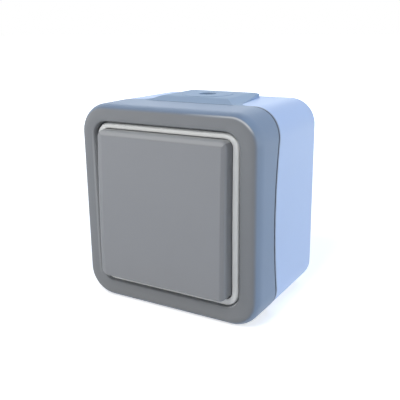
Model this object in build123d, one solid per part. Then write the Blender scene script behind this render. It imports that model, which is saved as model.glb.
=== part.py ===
from build123d import *

import math
import os

# Surface mounted light switch with a rocker. Millimetres, +Z up. The origin is the centre of the
# face that lies on the wall: the wall is the plane Y = 0 and the rocker faces -Y.

# Closed casing
WIDTH = 76.0
HEIGHT = 77.2
DEPTH = 51.9
CORNER_R = 11.2
FRONT_EDGE_R = 4.6
BOX_DRAFT_X = 0.85
BOX_DRAFT_Z = 0.5
BOX_CORNER_DROP = 1.3

# Parting surface between the rear box and the front frame: an arc seen from the side
PARTING_DEPTH = 13.3
PARTING_SAG = 4.9
GASKET_THICK = 0.7
GASKET_SETBACK = 0.6

# Rear box
BOX_WALL = 2.6
BOX_BACK = 2.6
RIM_LIP_HEIGHT = 1.6
PILLAR_R = 3.3
RIB_THICK = 1.6
WALL_SLOT_PITCH = 50.0
WALL_SLOT_WIDTH = 4.4
WALL_SLOT_LENGTH = 8.0
WALL_SLOT_PAD_R = 6.5
WALL_SLOT_PAD_HEIGHT = 1.4
KNOCKOUT_R = 10.0
KNOCKOUT_GROOVE = 0.8
KNOCKOUT_DEPTH = 1.4

# Cable gland in the top of the box
GLAND_SHOULDER = 17.1
GLAND_TAPER = 5.9
GLAND_BACK_R = 3.0
GLAND_FLARE = 8.1
GLAND_FLARE_R = 8.0
GLAND_ROOT = 6.65
GLAND_RISE = 1.65
GLAND_PLATEAU_EDGE = 6.7
GLAND_RAMP = 4.5
GLAND_FLANGE_THICK = 1.8
GLAND_FLANGE_EDGE = 1.4
GLAND_ENTRY_SHIFT = 0.75
GLAND_DOME_R = 10.0
GLAND_DOME_RISE = 0.15
GLAND_DOME_EDGE_R = 0.12
GLAND_DIMPLE_R = 3.4
GLAND_DIMPLE_DEPTH = 1.1
GLAND_MEMBRANE = 1.3
GLAND_HOLLOW_R = 8.2

# Front frame
FRAME_WALL = 1.5
FRAME_FRONT_WALL = 3.6
OPENING_EDGE_R = 1.0
LEDGE_DEPTH = 7.5
LEDGE_THICK = 2.0
LEDGE_BORDER_X = 8.2
LEDGE_BORDER_Z = 6.95
LEDGE_WINDOW_R = 3.0
FRAME_RIB_THICK = 1.2
FRAME_RIB_PITCH = 18.0

# Trim ring round the rocker
RING_BORDER_X = 7.8
RING_BORDER_Z = 7.6
RING_RIM_X = 2.5
RING_RIM_Z = 2.05
RING_CORNER_R = 5.2
RING_INNER_CORNER_R = 3.0
RING_RECESS = 1.6
RING_RISE = 0.75
RING_GAP = 0.5
RING_EDGE_R = 0.9
RING_INNER_EDGE_R = 0.4
CLIP_WIDTH = 6.0
CLIP_THICK = 1.3
CLIP_BARB = 0.5
CLIP_BARB_HEIGHT = 0.9
CLIP_HALF_PITCH = 14.0

# Rocker and the cradle that it snaps on
ROCKER_GAP_X = 0.25
ROCKER_GAP_Z = 0.4
ROCKER_CORNER_R = 2.7
ROCKER_PROUD = 3.5
ROCKER_DEPTH = 8.2
ROCKER_WALL = 1.6
ROCKER_FACE_THICK = 1.8
ROCKER_EDGE_R = 0.9
ROCKER_CROWN_R = 900.0
ROCKER_TILT = 1.8
PIVOT_RISE = 2.1
CRADLE_ROOM_X = 7.5
CRADLE_ROOM_Z = 7.0
CRADLE_THICK = 1.8
CRADLE_STANDOFF = 2.2
CHEEK_THICK = 1.6
CHEEK_WIDTH = 7.0
TRUNNION_R = 1.5
TRUNNION_LENGTH = 2.2
GUIDE_R = 3.2
HOOK_WIDTH = 5.0
HOOK_THICK = 1.3
HOOK_FROM_EDGE = 5.5

# Plunger and spring inside the cradle's guide
PLUNGER_R = 2.1
PLUNGER_TIP_R = 1.2
PLUNGER_HELD = 4.5
PLUNGER_REACH = 7.0
LEVER_LENGTH = 20.0
SPRING_WIRE = 0.36
SPRING_COILS = 7
BORE_BLIND_END = 2.5

# Switch mechanism
SUPPORT_THICK = 1.6
SUPPORT_EDGE = 3.1
SUPPORT_STEP_X = 3.0
SUPPORT_STEP_Z = 3.5
PILLAR_GAP = 0.4
COVER_THICK = 1.6
HUB_RISE = 0.3
HOUSING_LAP = 2.5
HOUSING_WALL = 1.6
HOUSING_FLOOR = 1.8
FLOOR_GAP = 1.85
HOUSING_CORNER_R = 2.0
EAR_THICK = 2.1
EAR_GAP = 0.4
EAR_R = 3.0

# Contacts and terminals
SEESAW_WIDTH = 7.0
SEESAW_THICK = 0.8
SEESAW_SWING = 5.0
SEESAW_AXIS_DEPTH = 1.5
TAB_HEIGHT = 2.8
TAB_HALF = 2.6
NOTCH_HALF_ANGLE = 40.0
KNIFE_HALF_ANGLE = 24.0
TIP_R = 1.6
TIP_HEIGHT = 0.8
TIP_EDGE_R = 0.4
TIP_OFFSET = 8.5
TIP_FROM_END = 1.5
STRIP_THICK = 0.8
STRIP_WIDTH = 5.0
COMMON_DROP = 1.6
TERMINAL_FROM_SIDE = 6.5
TERMINAL_FROM_EDGE = 4.7
CLAMP_SIZE = 6.6
CLAMP_DEPTH = 9.0
WIRE_HOLE_R = 1.6
WIRE_HOLE_OFFSET = 4.0
WIRE_ENTRY_R = 1.8
ACCESS_HOLE_R = 2.4

# Screws
FRAME_SCREW_FROM_SIDE = 3.7
FRAME_SCREW_FROM_END = 3.95
SUPPORT_SCREW_ROOM = 2.1
SCREW_R = 1.45
SCREW_LENGTH = 12.0
SCREW_HEAD_R = 2.6
SCREW_HEAD_HEIGHT = 1.5
SCREW_HEAD_SINK = 0.7
CLAMP_SCREW_R = 1.5
CLAMP_SCREW_HEAD_R = 2.1
CLAMP_SCREW_HEAD_HEIGHT = 1.8
CLAMP_SCREW_LENGTH = 5.5
CASE_SCREW_R = 1.0
CASE_SCREW_HEAD_R = 1.7
CASE_SCREW_HEAD_HEIGHT = 1.1
CASE_SCREW_LENGTH = 12.0
DRIVE_SLOT = 0.6
HEAD_ROUND_SHARE = 0.35
POINT_SHARE = 0.4

# Splash seal round the cradle
SEAL_THICK = 0.9
SEAL_FOOT = 1.5
SEAL_HEIGHT = 3.4
SEAL_EDGE = 0.15

# Clearances
FIT = 0.05
SLIP = 0.1
LOOSE = 0.3
CONTACT_GAP = 0.08
PLUNGER_GAP = 0.12
FAR = 200.0

# Depths, worked out from the front of the frame towards the wall
FRAME_FACE_Y = -DEPTH
RING_FACE_Y = FRAME_FACE_Y + RING_RECESS
ROCKER_FACE_Y = FRAME_FACE_Y - ROCKER_PROUD
ROCKER_INNER_Y = ROCKER_FACE_Y + ROCKER_FACE_THICK
ROCKER_SKIRT_Y = ROCKER_FACE_Y + ROCKER_DEPTH
LEDGE_Y = FRAME_FACE_Y + LEDGE_DEPTH
LEDGE_BACK_Y = LEDGE_Y + LEDGE_THICK
SUPPORT_BACK_Y = LEDGE_BACK_Y + SUPPORT_THICK
COVER_BACK_Y = SUPPORT_BACK_Y + COVER_THICK
PIVOT_Y = LEDGE_Y - PIVOT_RISE
CRADLE_FACE_Y = ROCKER_INNER_Y + CRADLE_STANDOFF
CRADLE_BACK_Y = CRADLE_FACE_Y + CRADLE_THICK
PLUNGER_TIP_Y = PIVOT_Y + LEVER_LENGTH
GUIDE_END_Y = PLUNGER_TIP_Y - PLUNGER_REACH
BORE_END_Y = CRADLE_FACE_Y + BORE_BLIND_END
PLUNGER_BACK_Y = GUIDE_END_Y - PLUNGER_HELD
SEESAW_FACE_Y = PLUNGER_TIP_Y + PLUNGER_GAP
SEESAW_BACK_Y = SEESAW_FACE_Y + SEESAW_THICK
SEESAW_AXIS_Y = SEESAW_FACE_Y + SEESAW_AXIS_DEPTH
PARTING_Y = FRAME_FACE_Y + PARTING_DEPTH
PARTING_END_Y = PARTING_Y + PARTING_SAG
GLAND_ENTRY_Y = (PARTING_END_Y - BOX_BACK) / 2 - GLAND_ENTRY_SHIFT

# The closed contact tips, with the seesaw turned by its swing, set the depth of the fixed strips
SWING = math.radians(SEESAW_SWING)
TIP_FACE = SEESAW_BACK_Y + TIP_HEIGHT - SEESAW_AXIS_Y
TIP_FAR_END = TIP_OFFSET + TIP_R - TIP_EDGE_R
TIP_REACH = TIP_FACE * math.cos(SWING) + TIP_FAR_END * math.sin(SWING)
CLOSED_TIP_Z = TIP_OFFSET * math.cos(SWING) - TIP_FACE * math.sin(SWING)
STRIP_SEAT_Y = SEESAW_AXIS_Y + TIP_REACH + CONTACT_GAP + TIP_HEIGHT
COMMON_SEAT_Y = STRIP_SEAT_Y + COMMON_DROP
FLOOR_Y = COMMON_SEAT_Y + STRIP_THICK + FLOOR_GAP
HOUSING_BACK_Y = FLOOR_Y + HOUSING_FLOOR

# Heights and radii that several pieces share
CENTRE_Z = RING_RISE
BOX_WALL_WIDTH = WIDTH - 2 * BOX_DRAFT_X
BOX_WALL_HEIGHT = HEIGHT - 2 * BOX_DRAFT_Z
BOX_WALL_CORNER_R = CORNER_R - BOX_CORNER_DROP
RIM_LIP_INSET = FRAME_WALL + SLIP
GASKET_WIDTH = FRAME_WALL - GASKET_SETBACK
GLAND_FRONT_HALF = WIDTH / 2 - GLAND_SHOULDER
GLAND_BACK_HALF = GLAND_FRONT_HALF - GLAND_TAPER
GLAND_FLARE_HALF = GLAND_FRONT_HALF + GLAND_FLARE
GLAND_PLATEAU_HALF = GLAND_FRONT_HALF - GLAND_PLATEAU_EDGE
RING_WIDTH = WIDTH - 2 * RING_BORDER_X
RING_HEIGHT = HEIGHT - 2 * RING_BORDER_Z
RING_INNER_WIDTH = RING_WIDTH - 2 * RING_RIM_X
RING_INNER_HEIGHT = RING_HEIGHT - 2 * RING_RIM_Z
ROCKER_WIDTH = RING_INNER_WIDTH - 2 * ROCKER_GAP_X
ROCKER_HEIGHT = RING_INNER_HEIGHT - 2 * ROCKER_GAP_Z
OPENING_WIDTH = RING_WIDTH + 2 * RING_GAP
OPENING_HEIGHT = RING_HEIGHT + 2 * RING_GAP
PARTING_R = ((HEIGHT / 2) ** 2 + PARTING_SAG**2) / (2 * PARTING_SAG)
LEDGE_WINDOW_WIDTH = RING_INNER_WIDTH - 2 * LEDGE_BORDER_X
LEDGE_WINDOW_HEIGHT = RING_INNER_HEIGHT - 2 * LEDGE_BORDER_Z
CRADLE_WIDTH = LEDGE_WINDOW_WIDTH - 2 * CRADLE_ROOM_X
CRADLE_HEIGHT = LEDGE_WINDOW_HEIGHT - 2 * CRADLE_ROOM_Z
HOOK_HALF_PITCH = CRADLE_WIDTH / 2 - HOOK_FROM_EDGE
EAR_INNER_X = CRADLE_WIDTH / 2 + EAR_GAP
FRAME_SCREW_X = RING_INNER_WIDTH / 2 - FRAME_SCREW_FROM_SIDE
FRAME_SCREW_Z = RING_INNER_HEIGHT / 2 - FRAME_SCREW_FROM_END
SUPPORT_WINDOW_WIDTH = LEDGE_WINDOW_WIDTH - 2 * SUPPORT_STEP_X
SUPPORT_WINDOW_HEIGHT = LEDGE_WINDOW_HEIGHT - 2 * SUPPORT_STEP_Z
HOUSING_WIDTH = SUPPORT_WINDOW_WIDTH + 2 * HOUSING_LAP
HOUSING_HEIGHT = SUPPORT_WINDOW_HEIGHT + 2 * HOUSING_LAP
SUPPORT_SCREW_X = HOUSING_WIDTH / 2 + PILLAR_R + SUPPORT_SCREW_ROOM
SUPPORT_WIDTH = 2 * (SUPPORT_SCREW_X + SUPPORT_EDGE)
SUPPORT_HEIGHT = 2 * (FRAME_SCREW_Z - PILLAR_R - PILLAR_GAP)
TERMINAL_X = HOUSING_WIDTH / 2 - TERMINAL_FROM_SIDE
TERMINAL_Z = SUPPORT_WINDOW_HEIGHT / 2 - TERMINAL_FROM_EDGE
SEESAW_LENGTH = 2 * (TIP_OFFSET + TIP_FROM_END)
FRAME_SCREWS = [(-FRAME_SCREW_X, FRAME_SCREW_Z), (FRAME_SCREW_X, -FRAME_SCREW_Z)]
SUPPORT_SCREWS = [(-SUPPORT_SCREW_X, 0.0), (SUPPORT_SCREW_X, 0.0)]
CASE_SCREWS = [(-TERMINAL_X, TERMINAL_Z)]
UPPER_TERMINAL = (TERMINAL_X, TERMINAL_Z)
LOWER_TERMINAL = (TERMINAL_X, -TERMINAL_Z)
COMMON_TERMINAL = (-TERMINAL_X, -TERMINAL_Z)


def facing(y, x=0.0, z=0.0):
    """Plane at depth y that faces the user, with its local axes along +X and +Z."""
    return Plane(origin=(x, y, z), x_dir=(1, 0, 0), z_dir=(0, -1, 0))


def slab(sketch, y_front, y_back, x=0.0, z=0.0):
    """Prism of an outline seen from the front, between two depths."""
    return extrude(facing(y_back, x, z) * sketch, amount=y_back - y_front)


def block(x_low, x_high, y_low, y_high, z_low, z_high):
    """Plain block between its lowest and highest corners."""
    centre = Pos((x_low + x_high) / 2, (y_low + y_high) / 2, (z_low + z_high) / 2)
    return centre * Box(x_high - x_low, y_high - y_low, z_high - z_low)


def rod(radius, y_front, y_back, x=0.0, z=0.0):
    """Round rod along Y between two depths."""
    return slab(Circle(radius), y_front, y_back, x, z)


def cross_rod(radius, x_low, x_high, y, z):
    """Round rod along X."""
    plane = Plane(origin=(x_low, y, z), x_dir=(0, 1, 0), z_dir=(1, 0, 0))
    return extrude(plane * Circle(radius), amount=x_high - x_low)


def side_profile(points, x_low, x_high):
    """Prism along X of an outline given as (y, z) points."""
    plane = Plane(origin=(x_low, 0, 0), x_dir=(0, 1, 0), z_dir=(1, 0, 0))
    return extrude(plane * make_face(Polyline(*points, close=True)), amount=x_high - x_low)


def rounded(width, height, radius):
    """Rounded rectangle, seen from the front."""
    return RectangleRounded(width, height, radius)


def frame_outline(inset):
    """Outline of the casing's front part, moved inwards by inset."""
    return rounded(WIDTH - 2 * inset, HEIGHT - 2 * inset, CORNER_R - inset)


def box_section(y, inset):
    """Outline of the drafted rear box at depth y, moved inwards by inset."""
    share = y / PARTING_Y
    width = BOX_WALL_WIDTH + (WIDTH - BOX_WALL_WIDTH) * share
    height = BOX_WALL_HEIGHT + (HEIGHT - BOX_WALL_HEIGHT) * share
    radius = BOX_WALL_CORNER_R + (CORNER_R - BOX_WALL_CORNER_R) * share
    return facing(y) * rounded(width - 2 * inset, height - 2 * inset, radius - inset)


def box_body(inset, y_front, y_back):
    """Drafted body of the rear box between two depths."""
    return loft([box_section(y_back, inset), box_section(y_front, inset)], ruled=True)


def parting_drum(margin=0.0):
    """Drum whose skin is the parting surface: what lies inside it is behind the parting."""
    drum = Rot(0, 90, 0) * Cylinder(PARTING_R + margin, 2 * WIDTH)
    return Pos(0, PARTING_Y + PARTING_R, 0) * drum


def front_edges(part):
    """Edges that bound the face nearest to the user."""
    return part.faces().sort_by(Axis.Y)[0].edges()


def turned(part, angle, y, z):
    """Part turned about the line along X through (y, z); a positive angle brings its top forward."""
    return Pos(0, y, z) * Rot(angle, 0, 0) * Pos(0, -y, -z) * part


def rocker_at_rest(part):
    """Part of the rocker, drawn upright, turned to the rest position with its top pressed in."""
    return turned(part, -ROCKER_TILT, PIVOT_Y, CENTRE_Z)


def slotted_screw(radius, length, head_r, head_height, under_head_y, x, z):
    """Round-headed screw that points at the wall, with a straight drive slot."""
    head = rod(head_r, under_head_y - head_height, under_head_y, x, z)
    head = fillet(front_edges(head), head_height * HEAD_ROUND_SHARE)
    shank = rod(radius, under_head_y, under_head_y + length, x, z)
    shank = chamfer(shank.faces().sort_by(Axis.Y)[-1].edges(), radius * POINT_SHARE)
    slot = block(
        x - head_r, x + head_r, under_head_y - head_height - SLIP, under_head_y - head_height / 2,
        z - DRIVE_SLOT / 2, z + DRIVE_SLOT / 2,
    )
    return head + shank - slot


def gland_outline():
    """Plan of the gland's tongue: a trapezoid that flares where it meets the frame."""
    front_y = PARTING_END_Y
    back_y = -BOX_BACK
    right = [
        (GLAND_FLARE_HALF, front_y - GLAND_ROOT),
        (GLAND_FLARE_HALF, front_y),
        (GLAND_FRONT_HALF, front_y),
        (GLAND_BACK_HALF, back_y),
    ]
    left = [(-x, y) for x, y in reversed(right)]
    plan = make_face(Polyline(*right, *left, close=True))
    corners = plan.vertices().filter_by(lambda v: abs(abs(v.X) - GLAND_FRONT_HALF) < FIT)
    plan = fillet(corners, GLAND_FLARE_R)
    back_corners = plan.vertices().sort_by(Axis.Y)[-2:]
    return fillet(back_corners, GLAND_BACK_R)


def gland_prism(z_low, z_high, inset=0.0):
    """Upright prism of the gland's plan, behind the parting surface."""
    plan = gland_outline()
    if inset:
        plan = offset(plan, -inset)
    return extrude(Plane.XY.offset(z_low) * plan, amount=z_high - z_low)


def rear_box():
    front_y = PARTING_Y - RIM_LIP_HEIGHT
    shell = box_body(0, PARTING_Y, 0) & parting_drum(-GASKET_THICK)
    lip = box_body(RIM_LIP_INSET, front_y, -BOX_BACK) & parting_drum(RIM_LIP_HEIGHT)
    box = shell + lip - box_body(BOX_WALL, front_y - RIM_LIP_HEIGHT, -BOX_BACK)

    inner_x = BOX_WALL_WIDTH / 2 - BOX_WALL / 2
    inner_z = BOX_WALL_HEIGHT / 2 - BOX_WALL / 2
    rib_half = RIB_THICK / 2
    pillars = []
    for x, z in SUPPORT_SCREWS:
        z += CENTRE_Z
        side = math.copysign(inner_x, x)
        pillars.append(rod(PILLAR_R, SUPPORT_BACK_Y, -BOX_BACK, x, z))
        pillars.append(
            block(min(x, side), max(x, side), PARTING_Y + RIB_THICK, -BOX_BACK, z - rib_half, z + rib_half)
        )
    for x, z in FRAME_SCREWS:
        z += CENTRE_Z
        side = math.copysign(inner_x, x)
        end = math.copysign(inner_z, z)
        rib_y = PARTING_END_Y + RIB_THICK
        pillars.append(rod(PILLAR_R, LEDGE_BACK_Y, -BOX_BACK, x, z))
        pillars.append(block(min(x, side), max(x, side), rib_y, -BOX_BACK, z - rib_half, z + rib_half))
        pillars.append(block(x - rib_half, x + rib_half, rib_y, -BOX_BACK, min(z, end), max(z, end)))
    for z in (-WALL_SLOT_PITCH / 2, WALL_SLOT_PITCH / 2):
        pillars.append(rod(WALL_SLOT_PAD_R, -BOX_BACK - WALL_SLOT_PAD_HEIGHT, -BOX_BACK, 0, z))
    for piece in pillars:
        box += piece

    for x, z in SUPPORT_SCREWS:
        box -= rod(SCREW_R + FIT, SUPPORT_BACK_Y - FIT, SUPPORT_BACK_Y + SCREW_LENGTH, x, z + CENTRE_Z)
    for x, z in FRAME_SCREWS:
        box -= rod(SCREW_R + FIT, LEDGE_BACK_Y - FIT, LEDGE_BACK_Y + SCREW_LENGTH, x, z + CENTRE_Z)
    slot = Rot(0, 0, 90) * SlotOverall(WALL_SLOT_LENGTH, WALL_SLOT_WIDTH)
    for z in (-WALL_SLOT_PITCH / 2, WALL_SLOT_PITCH / 2):
        box -= slab(slot, -BOX_BACK - 2 * WALL_SLOT_PAD_HEIGHT, FIT, 0, z)

    wall_underside = HEIGHT / 2 - BOX_WALL - GLAND_FLANGE_THICK / 2
    box -= gland_prism(wall_underside, HEIGHT)

    knockout_z = -HEIGHT / 2 + BOX_WALL - KNOCKOUT_DEPTH / 2
    ring = Circle(KNOCKOUT_R) - Circle(KNOCKOUT_R - KNOCKOUT_GROOVE)
    groove = Plane.XY.offset(knockout_z - KNOCKOUT_DEPTH / 2) * Pos(0, GLAND_ENTRY_Y) * ring
    return box - extrude(groove, amount=2 * KNOCKOUT_DEPTH)


def box_gasket():
    y_front = PARTING_Y - RIM_LIP_HEIGHT
    y_back = PARTING_END_Y + 2 * GASKET_THICK
    outer = slab(frame_outline(GASKET_SETBACK), y_front, y_back)
    inner = slab(frame_outline(GASKET_SETBACK + GASKET_WIDTH), y_front, y_back)
    return ((outer - inner) & parting_drum()) - parting_drum(-GASKET_THICK)


def cable_gland():
    top_z = HEIGHT / 2 + GLAND_RISE
    box_top = HEIGHT / 2
    flange_high = BOX_WALL_HEIGHT / 2 - BOX_WALL
    tongue = gland_prism(flange_high, top_z + GLAND_DOME_RISE, FIT) & parting_drum(-SLIP)

    start_x = GLAND_PLATEAU_HALF + GLAND_RAMP
    across = [(-FAR, box_top), (-start_x, box_top), (-GLAND_PLATEAU_HALF, top_z)]
    across += [(-x, z) for x, z in reversed(across)]
    across_face = make_face(Polyline(*across, (FAR, 0), (-FAR, 0), close=True))
    soft = across_face.vertices().filter_by(lambda v: abs(v.X) < FAR / 2)
    across_face = fillet(soft, GLAND_RAMP)
    tongue &= slab(across_face, -FAR, FAR)

    along = [(-FAR, box_top), (PARTING_END_Y, box_top), (PARTING_END_Y + GLAND_RAMP, top_z)]
    along += [(-BOX_BACK - GLAND_RAMP, top_z), (-BOX_BACK, box_top), (FAR, box_top)]
    plane = Plane(origin=(-FAR, 0, 0), x_dir=(0, 1, 0), z_dir=(1, 0, 0))
    along_face = make_face(Polyline(*along, (FAR, 0), (-FAR, 0), close=True))
    soft = along_face.vertices().filter_by(lambda v: abs(v.X) < FAR / 2)
    along_face = fillet(soft, GLAND_RAMP)
    tongue &= extrude(plane * along_face, amount=2 * FAR)

    gasket_top = HEIGHT / 2 - GASKET_SETBACK
    groove = block(-FAR / 2, FAR / 2, -FAR / 2, 0, 0, gasket_top + FIT) - parting_drum(-GASKET_THICK - FIT)
    tongue -= groove

    front_y = PARTING_END_Y + 2 * GASKET_THICK
    back_y = -BOX_BACK - GLAND_FLANGE_EDGE
    wide = GLAND_FRONT_HALF + GLAND_FLANGE_EDGE
    narrow = GLAND_BACK_HALF + GLAND_FLANGE_EDGE
    plan = make_face(
        Polyline((-wide, front_y), (wide, front_y), (narrow, back_y), (-narrow, back_y), close=True)
    )
    plan = fillet(plan.vertices(), GLAND_FLANGE_EDGE)
    flange = extrude(Plane.XY.offset(flange_high - GLAND_FLANGE_THICK) * plan, amount=GLAND_FLANGE_THICK)
    gland = tongue + flange

    entry = Pos(0, GLAND_ENTRY_Y)
    dome_base = Plane.XY.offset(top_z - GLAND_DOME_RISE) * entry * Circle(GLAND_DOME_R)
    dome = extrude(dome_base, 2 * GLAND_DOME_RISE)
    dome = fillet(dome.edges().group_by(Axis.Z)[-1], GLAND_DOME_EDGE_R)
    gland += dome
    dome_z = top_z + GLAND_DOME_RISE
    dimple = extrude(Plane.XY.offset(dome_z - GLAND_DIMPLE_DEPTH) * entry * Circle(GLAND_DIMPLE_R), FAR)
    gland -= dimple
    ceiling = dome_z - GLAND_DIMPLE_DEPTH - GLAND_MEMBRANE
    return gland - extrude(Plane.XY.offset(ceiling) * entry * Circle(GLAND_HOLLOW_R), -BOX_WALL - FAR)


def front_frame():
    frame = slab(frame_outline(0), FRAME_FACE_Y, 0)
    frame = fillet(front_edges(frame), FRONT_EDGE_R)
    frame -= parting_drum()

    pocket_y = FRAME_FACE_Y + FRAME_FRONT_WALL
    tube = rounded(
        OPENING_WIDTH + 2 * FRAME_WALL,
        OPENING_HEIGHT + 2 * FRAME_WALL,
        RING_CORNER_R + RING_GAP + FRAME_WALL,
    )
    tube_body = slab(tube, FRAME_FACE_Y, LEDGE_BACK_Y, 0, CENTRE_Z)
    hollow = slab(frame_outline(FRAME_WALL), pocket_y, FIT) - tube_body
    frame -= hollow

    half = FRAME_RIB_THICK / 2
    ribs = []
    for place in (-FRAME_RIB_PITCH, 0, FRAME_RIB_PITCH):
        ribs.append(block(place - half, place + half, pocket_y, LEDGE_BACK_Y, -HEIGHT / 2, HEIGHT / 2))
        ribs.append(block(-WIDTH / 2, WIDTH / 2, pocket_y, LEDGE_BACK_Y, place - half, place + half))
    room = slab(frame_outline(FRAME_WALL / 2), pocket_y - FIT, LEDGE_BACK_Y) - tube_body
    for rib in ribs:
        frame += rib & room

    opening = rounded(OPENING_WIDTH, OPENING_HEIGHT, RING_CORNER_R + RING_GAP)
    frame -= slab(opening, FRAME_FACE_Y - SLIP, LEDGE_Y, 0, CENTRE_Z)
    mouth = frame.faces().sort_by(Axis.Y)[0].inner_wires()[0].edges()
    frame = fillet(mouth, OPENING_EDGE_R)
    window = rounded(LEDGE_WINDOW_WIDTH, LEDGE_WINDOW_HEIGHT, LEDGE_WINDOW_R)
    frame -= slab(window, LEDGE_Y - FIT, LEDGE_BACK_Y + FIT, 0, CENTRE_Z)

    for x, z in FRAME_SCREWS:
        frame -= rod(SCREW_R + SLIP, LEDGE_Y - FIT, LEDGE_BACK_Y + FIT, x, z + CENTRE_Z)
        frame -= rod(SCREW_HEAD_R + SLIP, LEDGE_Y - FIT, LEDGE_Y + SCREW_HEAD_SINK, x, z + CENTRE_Z)
    for x, z in SUPPORT_SCREWS:
        frame -= rod(SCREW_HEAD_R + LOOSE, LEDGE_Y - FIT, LEDGE_BACK_Y + FIT, x, z + CENTRE_Z)
    for slot in ring_clips(SLIP):
        frame -= slot
    return frame


def ring_clips(margin=0.0):
    """Snap lugs behind the ring's upper and lower sides, or their slots with a margin."""
    lugs = []
    clip_z = RING_HEIGHT / 2 - RING_RIM_Z / 2
    for x in (-CLIP_HALF_PITCH, CLIP_HALF_PITCH):
        for side in (-1, 1):
            inner_z = clip_z - CLIP_THICK / 2 - margin
            outer_z = clip_z + CLIP_THICK / 2 + margin
            z_low = CENTRE_Z + min(side * inner_z, side * outer_z)
            z_high = CENTRE_Z + max(side * inner_z, side * outer_z)
            half = CLIP_WIDTH / 2 + margin
            y_front = LEDGE_Y - (FIT if margin else 0)
            y_back = LEDGE_BACK_Y + CLIP_BARB_HEIGHT + SLIP
            lug = block(x - half, x + half, y_front, y_back, z_low, z_high)
            if not margin:
                edge = CENTRE_Z + side * outer_z
                barb = side_profile(
                    [
                        (LEDGE_BACK_Y + SLIP, edge),
                        (LEDGE_BACK_Y + SLIP, edge + side * CLIP_BARB),
                        (y_back, edge),
                    ],
                    x - half,
                    x + half,
                )
                lug += barb
            lugs.append(lug)
    return lugs


def trim_ring():
    outer = rounded(RING_WIDTH, RING_HEIGHT, RING_CORNER_R)
    inner = rounded(RING_INNER_WIDTH, RING_INNER_HEIGHT, RING_INNER_CORNER_R)
    ring = slab(outer - inner, RING_FACE_Y, LEDGE_Y, 0, CENTRE_Z)
    ring = fillet(ring.faces().sort_by(Axis.Y)[0].outer_wire().edges(), RING_EDGE_R)
    ring = fillet(ring.faces().sort_by(Axis.Y)[0].inner_wires()[0].edges(), RING_INNER_EDGE_R)
    for lug in ring_clips():
        ring += lug
    return ring


def screw_group(places, under_head_y):
    """Screws at the given places, all with their heads at one depth."""
    return [
        slotted_screw(
            SCREW_R, SCREW_LENGTH, SCREW_HEAD_R, SCREW_HEAD_HEIGHT, under_head_y, x, z + CENTRE_Z
        )
        for x, z in places
    ]


def frame_screws():
    return screw_group(FRAME_SCREWS, LEDGE_Y + SCREW_HEAD_SINK)


def support_screws():
    return screw_group(SUPPORT_SCREWS, LEDGE_BACK_Y)


def support_plate():
    window = rounded(SUPPORT_WINDOW_WIDTH, SUPPORT_WINDOW_HEIGHT, LEDGE_WINDOW_R)
    outline = rounded(SUPPORT_WIDTH, SUPPORT_HEIGHT, LEDGE_WINDOW_R)
    plate = slab(outline - window, LEDGE_BACK_Y, SUPPORT_BACK_Y, 0, CENTRE_Z)
    for x, z in SUPPORT_SCREWS:
        plate -= rod(SCREW_R + SLIP, LEDGE_BACK_Y - FIT, SUPPORT_BACK_Y + FIT, x, z + CENTRE_Z)
    return plate


def splash_seal():
    window = rounded(LEDGE_WINDOW_WIDTH, LEDGE_WINDOW_HEIGHT, LEDGE_WINDOW_R)
    inner = offset(window, SEAL_EDGE)
    foot = slab(offset(window, SEAL_EDGE + SEAL_FOOT) - inner, LEDGE_Y - SEAL_THICK, LEDGE_Y, 0, CENTRE_Z)
    lip = slab(offset(window, SEAL_EDGE + SEAL_THICK) - inner, LEDGE_Y - SEAL_HEIGHT, LEDGE_Y, 0, CENTRE_Z)
    return foot + lip


def switch_cover():
    flange = slab(
        rounded(HOUSING_WIDTH, HOUSING_HEIGHT, HOUSING_CORNER_R), SUPPORT_BACK_Y, COVER_BACK_Y, 0, CENTRE_Z
    )
    hub_y = LEDGE_BACK_Y - HUB_RISE
    hub = slab(
        rounded(SUPPORT_WINDOW_WIDTH - 2 * SLIP, SUPPORT_WINDOW_HEIGHT - 2 * SLIP, LEDGE_WINDOW_R - SLIP),
        hub_y,
        SUPPORT_BACK_Y,
        0,
        CENTRE_Z,
    )
    cover = flange + hub
    for side in (-1, 1):
        x_low = min(side * EAR_INNER_X, side * (EAR_INNER_X + EAR_THICK))
        x_high = x_low + EAR_THICK
        ear = block(x_low, x_high, PIVOT_Y, SUPPORT_BACK_Y, CENTRE_Z - EAR_R, CENTRE_Z + EAR_R)
        ear += cross_rod(EAR_R, x_low, x_high, PIVOT_Y, CENTRE_Z)
        cover += ear
        cover -= cross_rod(TRUNNION_R + FIT, x_low - SLIP, x_high + SLIP, PIVOT_Y, CENTRE_Z)
    swing = LOOSE + (COVER_BACK_Y - PIVOT_Y) * math.sin(math.radians(ROCKER_TILT))
    throat = SlotOverall(2 * (GUIDE_R + swing) + 2 * swing, 2 * (GUIDE_R + LOOSE))
    cover -= slab(Rot(0, 0, 90) * throat, hub_y - SLIP, COVER_BACK_Y + SLIP, 0, CENTRE_Z)
    for x, z in (UPPER_TERMINAL, LOWER_TERMINAL, COMMON_TERMINAL):
        cover -= rod(ACCESS_HOLE_R, hub_y - SLIP, COVER_BACK_Y + SLIP, x, z + CENTRE_Z)
    for x, z in CASE_SCREWS:
        cover -= rod(CASE_SCREW_R + SLIP, hub_y - SLIP, COVER_BACK_Y + SLIP, x, z + CENTRE_Z)
        sink_y = hub_y + CASE_SCREW_HEAD_HEIGHT
        cover -= rod(CASE_SCREW_HEAD_R + SLIP, hub_y - SLIP, sink_y, x, z + CENTRE_Z)
    return cover


def case_screw():
    head_y = LEDGE_BACK_Y - HUB_RISE + CASE_SCREW_HEAD_HEIGHT
    x, z = CASE_SCREWS[0]
    return slotted_screw(
        CASE_SCREW_R, CASE_SCREW_LENGTH, CASE_SCREW_HEAD_R, CASE_SCREW_HEAD_HEIGHT, head_y, x, z + CENTRE_Z
    )


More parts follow.
